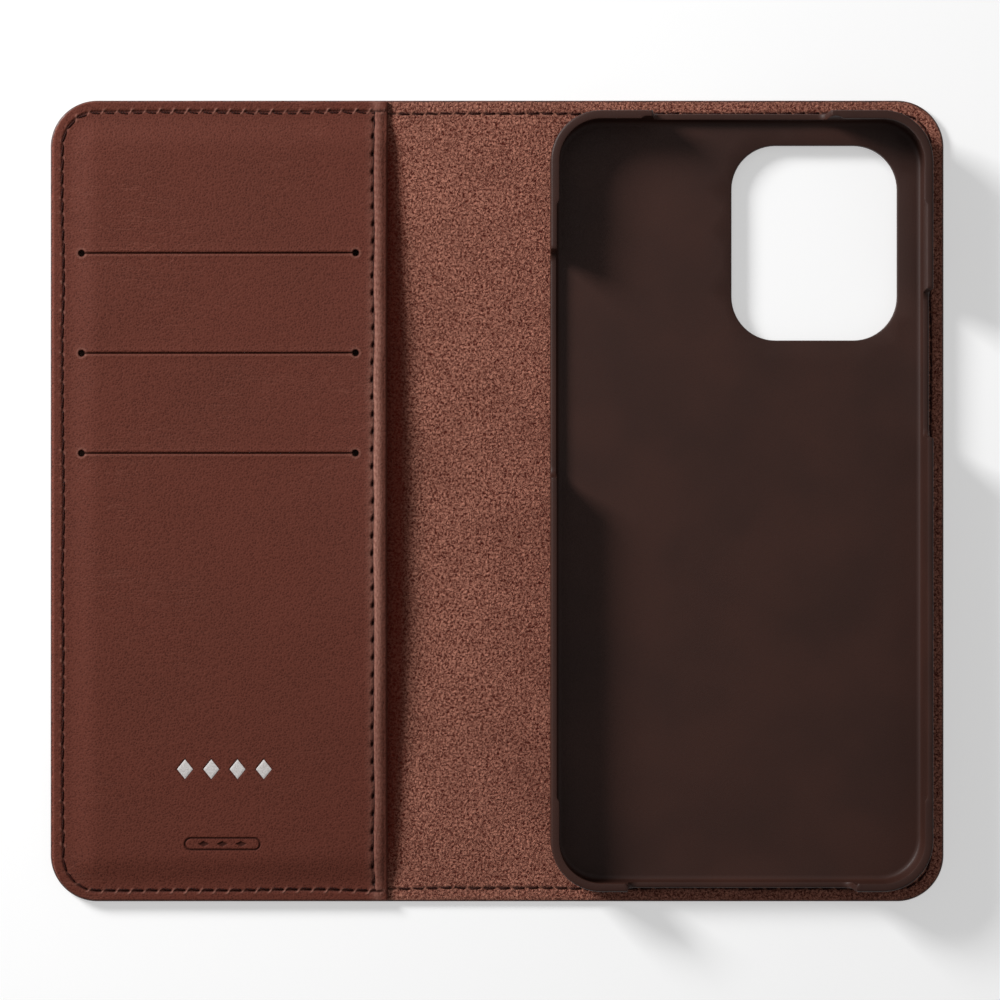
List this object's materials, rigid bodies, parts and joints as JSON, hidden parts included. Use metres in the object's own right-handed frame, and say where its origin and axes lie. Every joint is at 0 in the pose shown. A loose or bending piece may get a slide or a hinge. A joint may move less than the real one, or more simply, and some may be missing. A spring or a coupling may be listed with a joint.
{
  "type": "phone wallet case",
  "caption": "Book-style leather phone wallet case: front cover with card slots, soft folding spine, and back cover carrying a snap-in phone tray with a camera opening.",
  "frame": {"origin": "middle of the open case's footprint, on the surface that it lies on", "axes": "+X from the front cover's free edge to the back cover's free edge, +Y up the case towards the phone's top, +Z out of the inside faces"},
  "size_m": [0.184, 0.165, 0.0119],
  "materials": {
    "outer_leather": "oiled pull-up leather with a fine grain outside and a napped flesh side inside, dark burnished edges",
    "panel_leather": "smooth fine-grained leather, semi-matt",
    "pocket_cloth": "thin plain-woven lining",
    "thread": "waxed dark brown thread",
    "foil": "hot-stamped silver-white foil",
    "tray_shell": "moulded polycarbonate in the leather's dark brown, with a fine satin texture",
    "mounting_pad": "dark brown adhesive-backed microsuede"
  },
  "bodies": {
    "back_cover": {"back_cover_leather": "outer_leather", "back_edge_stitching": "thread", "tray_mounting_pad": "mounting_pad", "phone_tray": "tray_shell"},
    "spine_back": {"spine_leather_back": "outer_leather", "spine_stitching_back": "thread"},
    "spine_middle": {"spine_leather_middle": "outer_leather", "spine_stitching_middle": "thread"},
    "spine_front": {"spine_leather_front": "outer_leather", "spine_stitching_front": "thread"},
    "front_cover": {"front_cover_leather": "outer_leather", "card_panel": "panel_leather", "card_pocket_upper": "pocket_cloth", "card_pocket_middle": "pocket_cloth", "card_pocket_lower": "pocket_cloth", "foil_ornament": "foil", "front_edge_stitching": "thread", "hem_stitching": "thread"}
  },
  "joints": [
    {"name": "back_fold", "type": "hinge", "parent": "back_cover", "child": "spine_back", "pos_m": [0.009, 0, 0.0014], "axis": [0, 1, 0], "range_deg": [0, 45]},
    {"name": "spine_fold_back", "type": "hinge", "parent": "spine_back", "child": "spine_middle", "pos_m": [0.003, 0, 0.0014], "axis": [0, 1, 0], "range_deg": [0, 45]},
    {"name": "spine_fold_front", "type": "hinge", "parent": "spine_middle", "child": "spine_front", "pos_m": [-0.003, 0, 0.0014], "axis": [0, 1, 0], "range_deg": [0, 45]},
    {"name": "front_fold", "type": "hinge", "parent": "spine_front", "child": "front_cover", "pos_m": [-0.009, 0, 0.0014], "axis": [0, 1, 0], "range_deg": [0, 45]}
  ]
}
